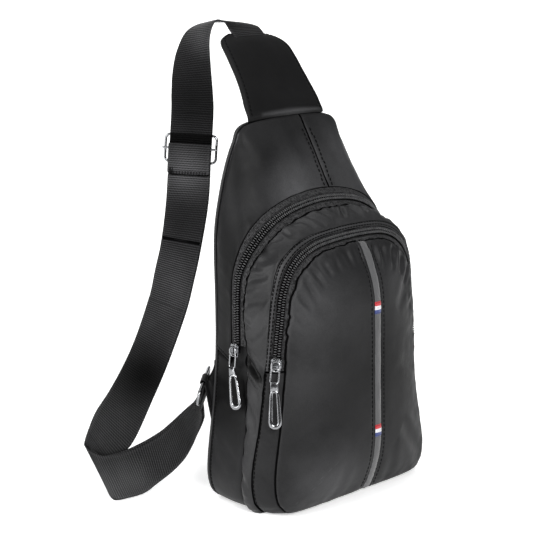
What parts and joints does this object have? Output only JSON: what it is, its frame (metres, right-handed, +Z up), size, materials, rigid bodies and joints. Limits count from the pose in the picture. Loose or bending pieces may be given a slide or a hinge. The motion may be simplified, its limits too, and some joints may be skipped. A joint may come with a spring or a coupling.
{
  "type": "sling bag",
  "caption": "Soft black one-shoulder sling bag: arched zipped pack with a front pocket, padded top and an adjustable webbing strap.",
  "frame": {"origin": "underside of the base, on the bag's middle plane, where it stands on the floor", "axes": "+Z up; the front panel faces -Y and the strap and back panel face +Y; +X is to the right when the front panel is looked at along +Y"},
  "size_m": [0.2728, 0.1952, 0.4173],
  "materials": {
    "shell": "smooth black coated nylon with a soft sheen",
    "air_mesh": "black spacer mesh, matte",
    "foam": "soft closed foam",
    "lining": "thin dark grey lining cloth",
    "zip_tape": "black woven zip tape",
    "zip_teeth": "black moulded coil teeth",
    "webbing": "black ribbed nylon webbing",
    "hardware": "polished gunmetal plating",
    "stripe": "grey ribbon, woven",
    "tag": "woven label with plain colour bands"
  },
  "bodies": {
    "bag": {"back_skin": "air_mesh", "back_foam": "foam", "yoke_left": "shell", "yoke_right": "shell", "rear_gusset": "shell", "middle_gusset": "shell", "front_gusset": "shell", "main_zip_tape_rear": "zip_tape", "main_zip_tape_front": "zip_tape", "main_zip_teeth_rear": "zip_teeth", "main_zip_teeth_front": "zip_teeth", "front_zip_tape_rear": "zip_tape", "front_zip_tape_front": "zip_tape", "front_zip_teeth_rear": "zip_teeth", "front_zip_teeth_front": "zip_teeth", "front_panel_left": "shell", "front_panel_right": "shell", "front_stripe": "stripe", "tag_upper": "tag", "tag_lower": "tag", "divider": "lining", "main_lining": "lining", "pocket_lining": "lining", "pad_face": "shell", "pad_foam": "foam", "pad_back": "air_mesh", "strap_upper": "webbing", "strap_running": "webbing", "strap_lower_outer": "webbing", "strap_sewn_upper": "webbing", "strap_sewn_lower": "webbing", "strap_lower_inner": "webbing", "strap_tab": "shell"},
    "main_slider": {"main_slider": "hardware"},
    "main_link": {"main_link": "hardware"},
    "main_pull": {"main_pull": "hardware"},
    "front_slider": {"front_slider": "hardware"},
    "front_link": {"front_link": "hardware"},
    "front_pull": {"front_pull": "hardware"},
    "triglide": {"triglide_bar": "hardware", "strap_sewn_loop": "webbing"},
    "triglide_frame": {"triglide_frame": "hardware"},
    "strap_ring": {"strap_ring": "hardware", "strap_ring_turn": "webbing"}
  },
  "joints": [
    {"name": "main_zip_slide", "type": "slide", "parent": "bag", "child": "main_slider", "axis": [0.012, 0, 0.9999], "range_m": [0, 0.055]},
    {"name": "main_link_swing", "type": "hinge", "parent": "main_slider", "child": "main_link", "pos_m": [-0.09679, 0.008, 0.14031], "axis": [0, 1, 0], "range_deg": [0, 110]},
    {"name": "main_pull_swing", "type": "hinge", "parent": "main_link", "child": "main_pull", "pos_m": [-0.0982, 0.008, 0.12779], "axis": [0, 1, 0], "range_deg": [0, 60]},
    {"name": "front_zip_slide", "type": "slide", "parent": "bag", "child": "front_slider", "axis": [0.118, -0.0155, 0.9929], "range_m": [0, 0.055]},
    {"name": "front_link_swing", "type": "hinge", "parent": "front_slider", "child": "front_link", "pos_m": [-0.09005, -0.03761, 0.13449], "axis": [-0.6787, 0.7286, 0.092], "range_deg": [0, 110]},
    {"name": "front_pull_swing", "type": "hinge", "parent": "front_link", "child": "front_pull", "pos_m": [-0.09244, -0.03828, 0.12214], "axis": [-0.6787, 0.7286, 0.092], "range_deg": [0, 60]},
    {"name": "triglide_slide", "type": "slide", "parent": "bag", "child": "triglide", "axis": [-0.1548, -0.0549, -0.9864], "range_m": [-0.012, 0.028], "deforming": ["strap_sewn_upper"]},
    {"name": "triglide_frame_shift", "type": "slide", "parent": "triglide", "child": "triglide_frame", "axis": [-0.1548, -0.0549, -0.9864], "range_m": [-0.003, 0.003]},
    {"name": "ring_swing", "type": "hinge", "parent": "bag", "child": "strap_ring", "pos_m": [-0.09494, 0.04867, 0.10859], "axis": [0.7703, 0.5652, 0.2951], "range_deg": [-4, 12]}
  ]
}
